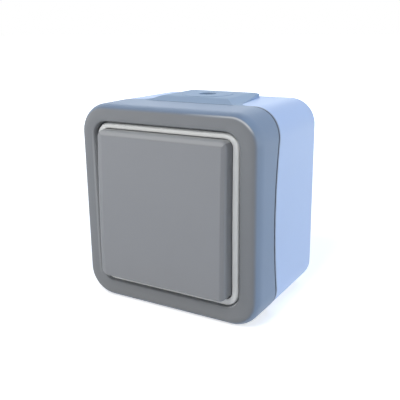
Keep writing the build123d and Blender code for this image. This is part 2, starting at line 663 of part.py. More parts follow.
def switch_housing():
    outline = rounded(HOUSING_WIDTH, HOUSING_HEIGHT, HOUSING_CORNER_R)
    cavity = rounded(
        HOUSING_WIDTH - 2 * HOUSING_WALL,
        HOUSING_HEIGHT - 2 * HOUSING_WALL,
        HOUSING_CORNER_R - HOUSING_WALL / 2,
    )
    housing = slab(outline, COVER_BACK_Y, HOUSING_BACK_Y, 0, CENTRE_Z)
    housing -= slab(cavity, COVER_BACK_Y - FIT, FLOOR_Y, 0, CENTRE_Z)

    rest_y = STRIP_SEAT_Y + STRIP_THICK
    common_rest_y = COMMON_SEAT_Y + STRIP_THICK
    wall_x = HOUSING_WIDTH / 2 - HOUSING_WALL / 2
    half = RIB_THICK / 2
    for side in (-1, 1):
        z = CENTRE_Z + side * CLOSED_TIP_Z
        housing += block(-STRIP_WIDTH / 2, wall_x, rest_y, FLOOR_Y, z - half, z + half)
    housing += block(-wall_x, STRIP_WIDTH / 2, common_rest_y, FLOOR_Y, CENTRE_Z - half, CENTRE_Z + half)
    for x, z in (UPPER_TERMINAL, LOWER_TERMINAL, COMMON_TERMINAL):
        side = math.copysign(HOUSING_WIDTH / 2, x)
        seat = rest_y if x > 0 else common_rest_y
        low_x, high_x = sorted((x - math.copysign(CLAMP_SIZE / 2, x), math.copysign(wall_x, x)))
        z += CENTRE_Z
        housing += block(low_x, high_x, seat, FLOOR_Y, z - half, z + half)
        wire_y = seat - STRIP_THICK - WIRE_HOLE_OFFSET
        low_x, high_x = sorted((side + math.copysign(SLIP, x), side - math.copysign(2 * HOUSING_WALL, x)))
        housing -= cross_rod(WIRE_ENTRY_R, low_x, high_x, wire_y, z)

    for x, z in CASE_SCREWS:
        z += CENTRE_Z
        housing += rod(CASE_SCREW_R + HOUSING_WALL, COVER_BACK_Y, FLOOR_Y, x, z)
        housing += block(-wall_x, x, COVER_BACK_Y, FLOOR_Y, z - half, z + half)
        housing -= rod(CASE_SCREW_R + FIT, COVER_BACK_Y - FIT, COVER_BACK_Y + CASE_SCREW_LENGTH, x, z)
    return housing


def contact_tip(y_front, y_back, z, faces_wall):
    """Domed silver tip of a contact."""
    tip = rod(TIP_R, y_front, y_back, 0, z)
    ends = tip.faces().sort_by(Axis.Y)
    return fillet((ends[-1] if faces_wall else ends[0]).edges(), TIP_EDGE_R)


def fixed_contact(side):
    """Strip from one fixed contact tip to its terminal."""
    seat_y = STRIP_SEAT_Y
    tip_z = side * CLOSED_TIP_Z
    clamp_z = side * TERMINAL_Z
    low_x = TERMINAL_X - CLAMP_SIZE / 2
    run = Pos((low_x - STRIP_WIDTH / 2) / 2, tip_z) * Rectangle(low_x + STRIP_WIDTH / 2 + FIT, STRIP_WIDTH)
    z_edges = [tip_z - side * STRIP_WIDTH / 2, clamp_z + side * CLAMP_SIZE / 2]
    pad = Pos(TERMINAL_X, sum(z_edges) / 2) * Rectangle(CLAMP_SIZE, abs(z_edges[1] - z_edges[0]))
    strip = slab(run + pad, seat_y, seat_y + STRIP_THICK, 0, CENTRE_Z)
    return strip + contact_tip(seat_y - TIP_HEIGHT, seat_y, CENTRE_Z + tip_z, False)


def common_contact():
    """Common strip with the two knife edges that carry the seesaw."""
    seat_y = COMMON_SEAT_Y
    edge_x = -TERMINAL_X - CLAMP_SIZE / 2
    run = Pos((edge_x + SEESAW_WIDTH / 2) / 2, 0) * Rectangle(SEESAW_WIDTH / 2 - edge_x, STRIP_WIDTH)
    pad_low = -TERMINAL_Z - CLAMP_SIZE / 2
    pad_high = STRIP_WIDTH / 2
    pad = Pos(-TERMINAL_X, (pad_low + pad_high) / 2) * Rectangle(CLAMP_SIZE, pad_high - pad_low)
    strip = slab(run + pad, seat_y, seat_y + STRIP_THICK, 0, CENTRE_Z)
    apex_y = SEESAW_AXIS_Y + CONTACT_GAP
    half = (seat_y - apex_y) * math.tan(math.radians(KNIFE_HALF_ANGLE))
    for side in (-1, 1):
        low_x, high_x = sorted((side * (SEESAW_WIDTH / 2 - SEESAW_THICK), side * SEESAW_WIDTH / 2))
        knife = [(apex_y, CENTRE_Z), (seat_y, CENTRE_Z + half), (seat_y, CENTRE_Z - half)]
        strip += side_profile(knife, low_x, high_x)
    return strip


def moving_contact():
    """Seesaw strip with notched tabs, drawn level and then turned so that its lower tip is closed."""
    strip = slab(
        rounded(SEESAW_WIDTH, SEESAW_LENGTH, SEESAW_THICK), SEESAW_FACE_Y, SEESAW_BACK_Y, 0, CENTRE_Z
    )
    for side in (-1, 1):
        low_x, high_x = sorted((side * (SEESAW_WIDTH / 2 - SEESAW_THICK), side * SEESAW_WIDTH / 2))
        tab_y = SEESAW_BACK_Y + TAB_HEIGHT
        strip += block(low_x, high_x, SEESAW_BACK_Y, tab_y, CENTRE_Z - TAB_HALF, CENTRE_Z + TAB_HALF)
        depth = tab_y - SEESAW_AXIS_Y + SLIP
        half = depth * math.tan(math.radians(NOTCH_HALF_ANGLE))
        notch = [
            (SEESAW_AXIS_Y, CENTRE_Z),
            (SEESAW_AXIS_Y + depth, CENTRE_Z + half),
            (SEESAW_AXIS_Y + depth, CENTRE_Z - half),
        ]
        strip -= side_profile(notch, low_x - SLIP, high_x + SLIP)
        strip += contact_tip(SEESAW_BACK_Y, SEESAW_BACK_Y + TIP_HEIGHT, CENTRE_Z + side * TIP_OFFSET, True)
    return turned(strip, SEESAW_SWING, SEESAW_AXIS_Y, CENTRE_Z)


def terminal_places():
    """Places of the terminals, with the depth of the strip that each stands on."""
    return [
        (*UPPER_TERMINAL, STRIP_SEAT_Y),
        (*LOWER_TERMINAL, STRIP_SEAT_Y),
        (*COMMON_TERMINAL, COMMON_SEAT_Y),
    ]


def terminal_clamps():
    clamps = []
    for x, z, seat_y in terminal_places():
        z += CENTRE_Z
        clamp = slab(rounded(CLAMP_SIZE, CLAMP_SIZE, SEESAW_THICK), seat_y - CLAMP_DEPTH, seat_y, x, z)
        clamp -= cross_rod(WIRE_HOLE_R, x - CLAMP_SIZE, x + CLAMP_SIZE, seat_y - WIRE_HOLE_OFFSET, z)
        clamp -= rod(CLAMP_SCREW_R + FIT, seat_y - CLAMP_DEPTH - FIT, seat_y - WIRE_HOLE_OFFSET, x, z)
        clamps.append(clamp)
    return clamps


def terminal_screws():
    return [
        slotted_screw(
            CLAMP_SCREW_R,
            CLAMP_SCREW_LENGTH,
            CLAMP_SCREW_HEAD_R,
            CLAMP_SCREW_HEAD_HEIGHT,
            seat_y - CLAMP_DEPTH - LOOSE,
            x,
            z + CENTRE_Z,
        )
        for x, z, seat_y in terminal_places()
    ]


def rocker_button():
    """Rocker shell with hooks and pads for the cradle."""
    outline = rounded(ROCKER_WIDTH, ROCKER_HEIGHT, ROCKER_CORNER_R)
    button = slab(outline, ROCKER_FACE_Y, ROCKER_SKIRT_Y, 0, CENTRE_Z)
    crown = Rot(0, 90, 0) * Cylinder(ROCKER_CROWN_R, 2 * WIDTH)
    button &= Pos(0, ROCKER_FACE_Y + ROCKER_CROWN_R, CENTRE_Z) * crown
    button = fillet(front_edges(button), ROCKER_EDGE_R)
    cavity = rounded(
        ROCKER_WIDTH - 2 * ROCKER_WALL, ROCKER_HEIGHT - 2 * ROCKER_WALL, ROCKER_CORNER_R - ROCKER_WALL
    )
    button -= slab(cavity, ROCKER_INNER_Y, ROCKER_SKIRT_Y + FIT, 0, CENTRE_Z)

    for x in (-HOOK_HALF_PITCH, HOOK_HALF_PITCH):
        button += block(
            x - RIB_THICK / 2, x + RIB_THICK / 2, ROCKER_INNER_Y - FIT, CRADLE_FACE_Y,
            CENTRE_Z - CRADLE_HEIGHT / 2, CENTRE_Z + CRADLE_HEIGHT / 2,
        )
        for side in (-1, 1):
            inner_z = CRADLE_HEIGHT / 2 + SLIP
            barb_y = CRADLE_BACK_Y + SLIP
            hook = [
                (ROCKER_INNER_Y - FIT, CENTRE_Z + side * inner_z),
                (barb_y, CENTRE_Z + side * inner_z),
                (barb_y, CENTRE_Z + side * (inner_z - HOOK_THICK / 2)),
                (barb_y + HOOK_THICK, CENTRE_Z + side * inner_z),
                (barb_y + HOOK_THICK, CENTRE_Z + side * (inner_z + HOOK_THICK)),
                (ROCKER_INNER_Y - FIT, CENTRE_Z + side * (inner_z + HOOK_THICK)),
            ]
            button += side_profile(hook, x - HOOK_WIDTH / 2, x + HOOK_WIDTH / 2)
    return rocker_at_rest(button)


def rocker_cradle():
    """Inner lever with its trunnions and the guide for the plunger."""
    cradle = slab(Rectangle(CRADLE_WIDTH, CRADLE_HEIGHT), CRADLE_FACE_Y, CRADLE_BACK_Y, 0, CENTRE_Z)
    for side in (-1, 1):
        inner_x = side * (CRADLE_WIDTH / 2 - CHEEK_THICK)
        low_x, high_x = sorted((inner_x, side * CRADLE_WIDTH / 2))
        half = CHEEK_WIDTH / 2
        cradle += block(low_x, high_x, CRADLE_BACK_Y, PIVOT_Y, CENTRE_Z - half, CENTRE_Z + half)
        cradle += cross_rod((half + TRUNNION_R) / 2, low_x, high_x, PIVOT_Y, CENTRE_Z)
        low_x, high_x = sorted((inner_x, side * (EAR_INNER_X + TRUNNION_LENGTH)))
        cradle += cross_rod(TRUNNION_R, low_x, high_x, PIVOT_Y, CENTRE_Z)
    cradle += rod(GUIDE_R, CRADLE_FACE_Y + FIT, GUIDE_END_Y, 0, CENTRE_Z)
    cradle -= rod(PLUNGER_R + FIT, BORE_END_Y, GUIDE_END_Y + FIT, 0, CENTRE_Z)
    return rocker_at_rest(cradle)


def plunger():
    """Sprung plunger with a round nose, as a turned profile."""
    nose_y = PLUNGER_TIP_Y - PLUNGER_TIP_R
    slope = PLUNGER_R - PLUNGER_TIP_R
    outline = [
        (0, PLUNGER_BACK_Y), (PLUNGER_R, PLUNGER_BACK_Y), (PLUNGER_R, GUIDE_END_Y + slope),
        (PLUNGER_TIP_R, GUIDE_END_Y + 2 * slope + slope), (PLUNGER_TIP_R, nose_y),
    ]
    arc_mid = (PLUNGER_TIP_R * math.sin(math.pi / 4), nose_y + PLUNGER_TIP_R * math.cos(math.pi / 4))
    edge = Polyline(*outline) + ThreePointArc(outline[-1], arc_mid, (0, PLUNGER_TIP_Y))
    profile = make_face(edge + Line((0, PLUNGER_TIP_Y), (0, PLUNGER_BACK_Y)))
    body = Pos(0, 0, CENTRE_Z) * revolve(profile, Axis.Y)
    return rocker_at_rest(body)


def plunger_spring():
    """Compression spring between the end of the bore and the plunger."""
    low_y = BORE_END_Y + SPRING_WIRE / 2 + FIT
    high_y = PLUNGER_BACK_Y - SPRING_WIRE / 2 - FIT
    coil_r = PLUNGER_R - SPRING_WIRE
    length = high_y - low_y
    path = Helix(length / SPRING_COILS, length, coil_r, direction=(0, 1, 0), center=(0, low_y, 0))
    wire = sweep(Plane(origin=path @ 0, z_dir=path % 0) * Circle(SPRING_WIRE / 2), path=path)
    return rocker_at_rest(Pos(0, 0, CENTRE_Z) * wire)


PARTS = {
    "rear_box": rear_box,
    "cable_gland": cable_gland,
    "box_gasket": box_gasket,
    "front_frame": front_frame,
    "frame_screws": frame_screws,
    "trim_ring": trim_ring,
    "splash_seal": splash_seal,
    "support_plate": support_plate,
    "support_screws": support_screws,
    "switch_cover": switch_cover,
    "switch_housing": switch_housing,
    "case_screw": case_screw,
    "upper_contact": lambda: fixed_contact(1),
    "lower_contact": lambda: fixed_contact(-1),
    "common_contact": common_contact,
    "terminal_clamps": terminal_clamps,
    "terminal_screws": terminal_screws,
    "moving_contact": moving_contact,
    "rocker_button": rocker_button,
    "rocker_cradle": rocker_cradle,
    "plunger": plunger,
    "plunger_spring": plunger_spring,
}

os.makedirs("parts", exist_ok=True)
for name, make in PARTS.items():
    shape = make()
    if isinstance(shape, list):
        shape = Compound(children=shape)
    export_step(shape, f"parts/{name}.step")
    print(name, "written")
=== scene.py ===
"""Looks of a surface mounted light switch: moulded finishes, soft forms and a plain studio."""
import logging
import math
from dataclasses import dataclass
from enum import Enum

import bpy
from mathutils import Matrix, Vector


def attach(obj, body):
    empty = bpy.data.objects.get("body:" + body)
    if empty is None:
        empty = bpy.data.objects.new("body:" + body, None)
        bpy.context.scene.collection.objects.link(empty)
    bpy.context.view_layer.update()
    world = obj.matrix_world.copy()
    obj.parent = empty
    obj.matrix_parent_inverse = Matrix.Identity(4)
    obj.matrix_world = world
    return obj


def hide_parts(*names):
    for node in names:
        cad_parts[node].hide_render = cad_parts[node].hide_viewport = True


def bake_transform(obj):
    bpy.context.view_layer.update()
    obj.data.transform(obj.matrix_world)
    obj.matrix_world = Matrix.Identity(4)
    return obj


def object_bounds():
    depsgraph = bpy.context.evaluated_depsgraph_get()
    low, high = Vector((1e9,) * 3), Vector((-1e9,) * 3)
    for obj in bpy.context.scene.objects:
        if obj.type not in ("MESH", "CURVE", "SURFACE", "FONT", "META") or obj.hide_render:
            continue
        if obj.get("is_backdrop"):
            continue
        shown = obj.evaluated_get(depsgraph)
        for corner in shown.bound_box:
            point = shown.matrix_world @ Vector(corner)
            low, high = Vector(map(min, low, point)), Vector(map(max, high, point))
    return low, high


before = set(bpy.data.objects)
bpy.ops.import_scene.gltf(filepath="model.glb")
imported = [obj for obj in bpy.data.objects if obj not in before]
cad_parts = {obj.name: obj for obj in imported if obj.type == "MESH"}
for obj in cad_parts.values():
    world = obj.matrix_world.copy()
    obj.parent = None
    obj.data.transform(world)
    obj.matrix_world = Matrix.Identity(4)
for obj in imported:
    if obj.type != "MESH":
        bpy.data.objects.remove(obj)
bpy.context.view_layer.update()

MM = 0.001
QUARTER_TURN = math.radians(90.0)
log = logging.getLogger("light_switch")

Rgb = tuple[float, float, float]
Fed = bpy.types.NodeSocket | float | Rgb

# Colour of a group that is given none, and the normal that leaves a surface as it is.
UNSET = (0.5, 0.5, 0.5)
UNBENT = (0.0, 0.0, 0.0)

# Linear colours of the light, the dust, the painted shade and dirt at the seam, the painted highlights and
# painted light, and the tarnish.
WHITE = (1.0, 1.0, 1.0)
DUST = (0.72, 0.71, 0.68)
SEAM_SHADE_AND_GRIME = (0.075, 0.07, 0.065)
PAINTED_EDGE_HIGHLIGHT = (0.80, 0.80, 0.80)
PAINTED_LIP_LIGHT = (0.62, 0.63, 0.64)
PAINTED_RIM_HIGHLIGHT = (0.445, 0.453, 0.465)
TARNISH = (0.22, 0.17, 0.12)

# Mean of a noise, and the frequencies of the noises, per metre.
NOISE_MIDDLE = 0.5
MOTTLE_FREQUENCY = 55.0
DUST_FREQUENCY = 900.0
SEAM_PATCH_FREQUENCY = 420.0

# How the effects fall off and how strong they are. The gain brings the middle of the edge to 1.
SEAM_PATCH_LEAST = 0.75
SEAM_PATCH_SPREAD = 0.5
EDGE_TURN_LOW = 0.25
EDGE_TURN_HIGH = 0.5
EDGE_GAIN = 4.0
EDGE_FOCUS = 3.0
LIP_FADE = 2.0
LIP_END_FADE = 8.0
RIM_BAND = 0.35
STREAK_STRETCH = (1.0, 1.0, 0.06)
STREAK_STRENGTH = 0.4
STREAK_ROUGHNESS = 0.2


class Coat(Enum):
    """How the surface of a moulding was left by its tool, as the spread of its roughness."""

    SATIN = 0.10
    GRAINED = 0.16
    RUBBERY = 0.08


class Socket(Enum):
    """Blender's name of each kind of socket."""

    FLOAT = "NodeSocketFloat"
    COLOUR = "NodeSocketColor"
    VECTOR = "NodeSocketVector"


@dataclass(frozen=True)
class PlasticFinish:
    """Moulded plastic or rubber.

    Args:
        name: Name of the material.
        colour: Base colour, linear.
        roughness: Mean roughness.
        coat: Surface that the tool left.
        grain_size: Width of one grain, in metres.
        grain_depth: Height of the grain, in metres.
        mottle: Share by which the colour drifts over the surface.
        specular: Specular level.
        dust: Share of pale dust that settles on faces that look up.
        seam: Share of the painted shade and dirt that lie along the joint of box and frame.
        seam_reach: Distance from the joint at which that painted shade and dirt end, in metres.
        crisp: Share by which a wide rounding reads as a crisp edge.
        painted_side_light: Colour of the outer faces that don't look to the front, a bluer copy that paints
            the cool side light. It needs crisp.
        soft_rim_and_painted_light: Width of the softened rim of a key, in metres, with a painted highlight
            along its upper band.
        painted_lip_light: Share of the painted light that makes the lip beside the key paler, lifting the
            shade of its recess.
        corner_highlight: Share of the painted highlight along the upper front edge, fullest at its right
            corner. It needs crisp.
    """

    name: str
    colour: Rgb
    roughness: float
    coat: Coat
    grain_size: float
    grain_depth: float
    mottle: float
    specular: float = 0.5
    dust: float = 0.0
    seam: float = 0.0
    seam_reach: float = 0.0014
    crisp: float = 0.0
    painted_side_light: Rgb | None = None
    soft_rim_and_painted_light: float = 0.0
    painted_lip_light: float = 0.0
    corner_highlight: float = 0.0


@dataclass(frozen=True)
class MetalFinish:
    """Plated or bare stamped metal.

    Args:
        name: Name of the material.
        colour: Base colour, linear.
        roughness: Least roughness, between the streaks.
        streak_size: Width of one brushed streak, in metres.
        tarnish: Share of darker tarnish.
    """

    name: str
    colour: Rgb
    roughness: float
    streak_size: float
    tarnish: float


class Wiring:
    """Short ways to add the nodes of one tree and to join them."""

    def __init__(self, tree: bpy.types.NodeTree) -> None:
        """Takes up a tree.

        Args:
            tree: Tree that gets the nodes.
        """
        self.tree = tree

    def add(self, kind: str, **settings: object) -> bpy.types.Node:
        """Adds a node.

        Args:
            kind: Blender's name of its type.
            settings: Property of the node to its value.

        Returns:
            The node.
        """
        node = self.tree.nodes.new(kind)
        for name, value in settings.items():
            setattr(node, name, value)
        return node

    def feed(self, target: bpy.types.NodeSocket, value: Fed) -> None:
        """Links a socket to an input, or sets a constant on it.

        Args:
            target: The input.
            value: A socket, or a number, a vector or a colour to set.
        """
        if isinstance(value, bpy.types.NodeSocket):
            self.tree.links.new(value, target)
        elif target.type == "RGBA":
            target.default_value = (*value, 1.0)
        else:
            target.default_value = value

    def calc(self, operation: str, *values: Fed) -> bpy.types.NodeSocket:
        """Result of a math node.

        Args:
            operation: Blender's name of the operation.
            values: Sockets or numbers.

        Returns:
            The result.
        """
        node = self.add("ShaderNodeMath", operation=operation)
        for index, value in enumerate(values):
            self.feed(node.inputs[index], value)
        return node.outputs[0]

    def product(self, *values: Fed) -> bpy.types.NodeSocket:
        """Product of two values or more.

        Args:
            values: Sockets or numbers.

        Returns:
            The product.
        """
        result = values[0]
        for value in values[1:]:
            result = self.calc("MULTIPLY", result, value)
        return result

    def ramp(
        self, value: Fed, low: Fed, high: Fed,
        start: float = 0.0, end: float = 1.0, smooth: bool = True,
    ) -> bpy.types.NodeSocket:
        """Clamped ramp from start to end while a value goes from low to high.

        Args:
            value: The value.
            low: Where the ramp begins.
            high: Where it ends.
            start: Result up to low.
            end: Result from high on.
            smooth: Whether it eases in and out.

        Returns:
            The result.
        """
        node = self.add("ShaderNodeMapRange", interpolation_type="SMOOTHSTEP" if smooth else "LINEAR")
        fed = {"Value": value, "From Min": low, "From Max": high, "To Min": start, "To Max": end}
        for name, source in fed.items():
            self.feed(node.inputs[name], source)
        return node.outputs["Result"]

    def blend(self, kind: str, mask: Fed, under: Fed, over: Fed) -> bpy.types.NodeSocket:
        """Blend of two colours or two vectors.

        Args:
            kind: RGBA or VECTOR.
            mask: Share of the second one.
            under: The first one.
            over: The second one.

        Returns:
            The blend.
        """
        node = self.add("ShaderNodeMix", data_type=kind)
        for name, source in {"Factor": mask, "A": under, "B": over}.items():
            self.feed(node.inputs[name], source)
        return node.outputs["Result"]

    def bump(self, height: Fed, distance: Fed, strength: float = 1.0) -> bpy.types.Node:
        """Bump node, with its normal left open.

        Args:
            height: Height, from 0 to 1.
            distance: Height of a 1, in metres.
            strength: Share of the effect.

        Returns:
            The node.
        """
        node = self.add("ShaderNodeBump")
        for name, source in {"Height": height, "Distance": distance, "Strength": strength}.items():
            self.feed(node.inputs[name], source)
        return node

    def place(self) -> bpy.types.NodeSocket:
        """Object coordinates."""
        return self.add("ShaderNodeTexCoord").outputs["Object"]

    def normal(self) -> bpy.types.NodeSocket:
        """Normal of the surface."""
        return self.add("ShaderNodeNewGeometry").outputs["Normal"]

    def split(self, vector: bpy.types.NodeSocket) -> bpy.types.NodeOutputs:
        """X, Y and Z of a vector.

        Args:
            vector: The vector.

        Returns:
            Its parts, by name.
        """
        node = self.add("ShaderNodeSeparateXYZ")
        self.feed(node.inputs[0], vector)
        return node.outputs

    def noise(
        self, frequency: Fed, detail: float, roughness: float = 0.5,
        vector: bpy.types.NodeSocket | None = None,
    ) -> bpy.types.NodeSocket:
        """Noise over the object's coordinates.

        Args:
            frequency: Its scale.
            detail: Octaves of the noise.
            roughness: Weight of the fine octaves.
            vector: Coordinates, where they aren't the object's.

        Returns:
            The noise, from 0 to 1.
        """
        node = self.add("ShaderNodeTexNoise")
        self.feed(node.inputs["Vector"], vector or self.place())
        for name, source in {"Scale": frequency, "Detail": detail, "Roughness": roughness}.items():
            self.feed(node.inputs[name], source)
        return node.outputs["Fac"]

    def seen(self) -> bpy.types.NodeSocket:
        """Mask of what the camera sees, straight, reflected or let through.

        Returns:
            1 for the camera, and 0 for light.
        """
        path = self.add("ShaderNodeLightPath").outputs
        straight = self.calc("MAXIMUM", path["Is Camera Ray"], path["Is Glossy Ray"])
        return self.calc("MAXIMUM", straight, path["Is Transmission Ray"])


class ShaderKit:
    """Effects of the materials, each a node group that is built once."""

    def __init__(self) -> None:
        """Builds the groups."""
        self.grain = self._grain_group()
        self.mottle = self._mottle_group()
        self.dust = self._dust_group()
        self.seam = self._seam_group()
        self.crisp = self._crisp_group()
        self.corner = self._corner_highlight_group()
        self.rim = self._rim_group()
        self.lip = self._lip_light_group()
        self.streaks = self._streak_group()

    @staticmethod
    def _start(
        name: str, inputs: dict[str, tuple[Socket, object]], outputs: dict[str, Socket]
    ) -> tuple[Wiring, bpy.types.NodeOutputs, bpy.types.NodeInputs]:
        """Starts a group with typed sockets.

        Args:
            name: Name of the group.
            inputs: Socket name to its kind and default value.
            outputs: Socket name to its kind.

        Returns:
            The group's wiring, what comes into it and what goes out of it.
        """
        tree = bpy.data.node_groups.new(name, "ShaderNodeTree")
        for socket, (kind, value) in inputs.items():
            item = tree.interface.new_socket(name=socket, in_out="INPUT", socket_type=kind.value)
            item.default_value = (*value, 1.0) if kind is Socket.COLOUR else value
        for socket, kind in outputs.items():
            tree.interface.new_socket(name=socket, in_out="OUTPUT", socket_type=kind.value)
        wiring = Wiring(tree)
        return wiring, wiring.add("NodeGroupInput").outputs, wiring.add("NodeGroupOutput").inputs

    def _grain_group(self) -> bpy.types.NodeTree:
        """Fine eroded grain: a normal, and a mask that is 1 in the pits.

        Returns:
            The group.
        """
        wiring, source, sink = self._start(
            "tool_grain",
            {"Frequency": (Socket.FLOAT, 4000.0), "Depth": (Socket.FLOAT, 0.01 * MM),
             "Normal": (Socket.VECTOR, UNBENT)},
            {"Normal": Socket.VECTOR, "Pits": Socket.FLOAT},
        )
        grain = wiring.noise(source["Frequency"], detail=3.0, roughness=0.6)
        bump = wiring.bump(grain, source["Depth"])
        wiring.feed(bump.inputs["Normal"], source["Normal"])
        wiring.feed(sink["Normal"], bump.outputs["Normal"])
        wiring.feed(sink["Pits"], wiring.calc("SUBTRACT", 1.0, grain))
        return wiring.tree

    def _mottle_group(self) -> bpy.types.NodeTree:
        """Slow drift of colour and gloss from the melt's flow.

        Returns:
            The group.
        """
        wiring, source, sink = self._start(
            "melt_mottle",
            {"Colour": (Socket.COLOUR, UNSET), "Share": (Socket.FLOAT, 0.05),
             "Frequency": (Socket.FLOAT, 60.0)},
            {"Colour": Socket.COLOUR, "Drift": Socket.FLOAT},
        )
        drift = wiring.noise(source["Frequency"], detail=4.0, roughness=0.55)
        swing = wiring.product(wiring.calc("SUBTRACT", drift, NOISE_MIDDLE), source["Share"])
        scale = wiring.add("ShaderNodeVectorMath", operation="SCALE")
        wiring.feed(scale.inputs[0], source["Colour"])
        wiring.feed(scale.inputs["Scale"], wiring.calc("ADD", swing, 1.0))
        wiring.feed(sink["Colour"], scale.outputs["Vector"])
        wiring.feed(sink["Drift"], drift)
        return wiring.tree

    def _dust_group(self) -> bpy.types.NodeTree:
        """Thin dust where a face looks up.

        Returns:
            The group.
        """
        wiring, source, sink = self._start(
            "settled_dust",
            {"Colour": (Socket.COLOUR, UNSET), "Amount": (Socket.FLOAT, 0.1),
             "Frequency": (Socket.FLOAT, DUST_FREQUENCY)},
            {"Colour": Socket.COLOUR},
        )
        patches = wiring.noise(source["Frequency"], detail=5.0, roughness=0.7)
        upward = wiring.calc("MAXIMUM", wiring.split(wiring.normal())["Z"], 0.0)
        mask = wiring.product(upward, patches, source["Amount"])
        wiring.feed(sink["Colour"], wiring.blend("RGBA", mask, source["Colour"], DUST))
        return wiring.tree

    def _seam_group(self) -> bpy.types.NodeTree:
        """Painted shade and fine dirt along the joint of box and frame, on a drum across the switch.

        Returns:
            The group.
        """
        wiring, source, sink = self._start(
            "seam_shade_and_grime",
            {"Colour": (Socket.COLOUR, UNSET), "Radius": (Socket.FLOAT, 154.0 * MM),
             "Axis Y": (Socket.FLOAT, 116.0 * MM), "Reach": (Socket.FLOAT, MM),
             "Amount": (Socket.FLOAT, 0.5)},
            {"Colour": Socket.COLOUR},
        )
        place = wiring.split(wiring.place())
        back = wiring.calc("SUBTRACT", place["Y"], source["Axis Y"])
        squares = wiring.calc("ADD", wiring.product(back, back), wiring.product(place["Z"], place["Z"]))
        off = wiring.calc("SUBTRACT", wiring.calc("SQRT", squares), source["Radius"])
        near = wiring.ramp(wiring.calc("ABSOLUTE", off), 0.0, source["Reach"], start=1.0, end=0.0)
        patches = wiring.product(wiring.noise(SEAM_PATCH_FREQUENCY, detail=4.0, roughness=0.6), SEAM_PATCH_SPREAD)
        mask = wiring.product(near, source["Amount"], wiring.calc("ADD", patches, SEAM_PATCH_LEAST))
        # Painted shade and dirt: the colour darkens towards the joint.
        wiring.feed(sink["Colour"], wiring.blend("RGBA", mask, source["Colour"], SEAM_SHADE_AND_GRIME))
        return wiring.tree

    def _crisp_group(self) -> bpy.types.NodeTree:
        """Normal of a wide rounding, turned to the front or the side so that it reads as a crisp edge.

        Front is 1 where a face looks to the front. Face is 1 there and inside the opening.

        Returns:
            The group.
        """
        wiring, source, sink = self._start(
            "crisp_edge",
            {"Side Level": (Socket.FLOAT, 0.6), "Front Level": (Socket.FLOAT, 0.88),
             "Share": (Socket.FLOAT, 0.6), "Opening": (Socket.FLOAT, 33.5 * MM)},
            {"Normal": Socket.VECTOR, "Front": Socket.FLOAT, "Face": Socket.FLOAT},
        )
        normal = wiring.normal()
        turned = wiring.split(normal)
        forward = wiring.product(turned["Y"], -1.0)
        front = wiring.ramp(forward, source["Side Level"], source["Front Level"])
        side = wiring.calc("SUBTRACT", 1.0, front)
        target = wiring.add("ShaderNodeCombineXYZ")
        wiring.feed(target.inputs["X"], wiring.product(turned["X"], side))
        wiring.feed(target.inputs["Y"], wiring.product(front, -1.0))
        wiring.feed(target.inputs["Z"], wiring.product(turned["Z"], side))
        unit = wiring.add("ShaderNodeVectorMath", operation="NORMALIZE")
        wiring.feed(unit.inputs[0], target.outputs[0])
        share = wiring.product(wiring.calc("GREATER_THAN", forward, 0.0), source["Share"])
        wiring.feed(sink["Normal"], wiring.blend("VECTOR", share, normal, unit.outputs[0]))
        wiring.feed(sink["Front"], front)
        place = wiring.split(wiring.place())
        across, high = wiring.calc("ABSOLUTE", place["X"]), wiring.calc("ABSOLUTE", place["Z"])
        inside = wiring.calc("LESS_THAN", wiring.calc("MAXIMUM", across, high), source["Opening"])
        wiring.feed(sink["Face"], wiring.calc("MAXIMUM", inside, front))
        return wiring.tree

    def _corner_highlight_group(self) -> bpy.types.NodeTree:
        """Painted highlight: a pale line along the upper front edge, fullest at its right corner.

        Returns:
            The group.
        """
        wiring, source, sink = self._start(
            "painted_corner_highlight",
            {"Colour": (Socket.COLOUR, UNSET), "Front": (Socket.FLOAT, 0.0),
             "Start X": (Socket.FLOAT, 8.0 * MM), "Full X": (Socket.FLOAT, 33.0 * MM),
             "Amount": (Socket.FLOAT, 0.5)},
            {"Colour": Socket.COLOUR},
        )
        upward = wiring.ramp(wiring.split(wiring.normal())["Z"], EDGE_TURN_LOW, EDGE_TURN_HIGH)
        across = wiring.split(wiring.place())["X"]
        along = wiring.ramp(across, source["Start X"], source["Full X"], smooth=False)
        rest = wiring.calc("SUBTRACT", 1.0, source["Front"])
        edge = wiring.calc("POWER", wiring.product(source["Front"], rest, EDGE_GAIN), EDGE_FOCUS)
        mask = wiring.product(edge, upward, along, source["Amount"])
        # Painted highlight on the edge.
        wiring.feed(sink["Colour"], wiring.blend("RGBA", mask, source["Colour"], PAINTED_EDGE_HIGHLIGHT))
        return wiring.tree

    def _lip_light_group(self) -> bpy.types.NodeTree:
        """Painted light: a paler lip on one upright side of an opening, which lifts the shade of the recess
        beside the key.

        Returns:
            The group.
        """
        wiring, source, sink = self._start(
            "painted_lip_light",
            {"Colour": (Socket.COLOUR, UNSET), "Lip X": (Socket.FLOAT, -30.7 * MM),
             "Reach": (Socket.FLOAT, 1.2 * MM), "Half Height": (Socket.FLOAT, 29.0 * MM),
             "Amount": (Socket.FLOAT, 0.5)},
            {"Colour": Socket.COLOUR},
        )
        place = wiring.split(wiring.place())
        off = wiring.calc("ABSOLUTE", wiring.calc("SUBTRACT", place["X"], source["Lip X"]))
        high = wiring.calc("ABSOLUTE", place["Z"])
        shares = []
        spans = (off, source["Reach"], LIP_FADE), (high, source["Half Height"], LIP_END_FADE)
        for distance, limit, fade in spans:
            reached = wiring.calc("POWER", wiring.calc("DIVIDE", distance, limit), fade)
            shares.append(wiring.calc("MAXIMUM", wiring.calc("SUBTRACT", 1.0, reached), 0.0))
        mask = wiring.product(*shares, source["Amount"])
        # Painted light: the lip is made paler to lift the shade of the recess.
        wiring.feed(sink["Colour"], wiring.blend("RGBA", mask, source["Colour"], PAINTED_LIP_LIGHT))
        return wiring.tree

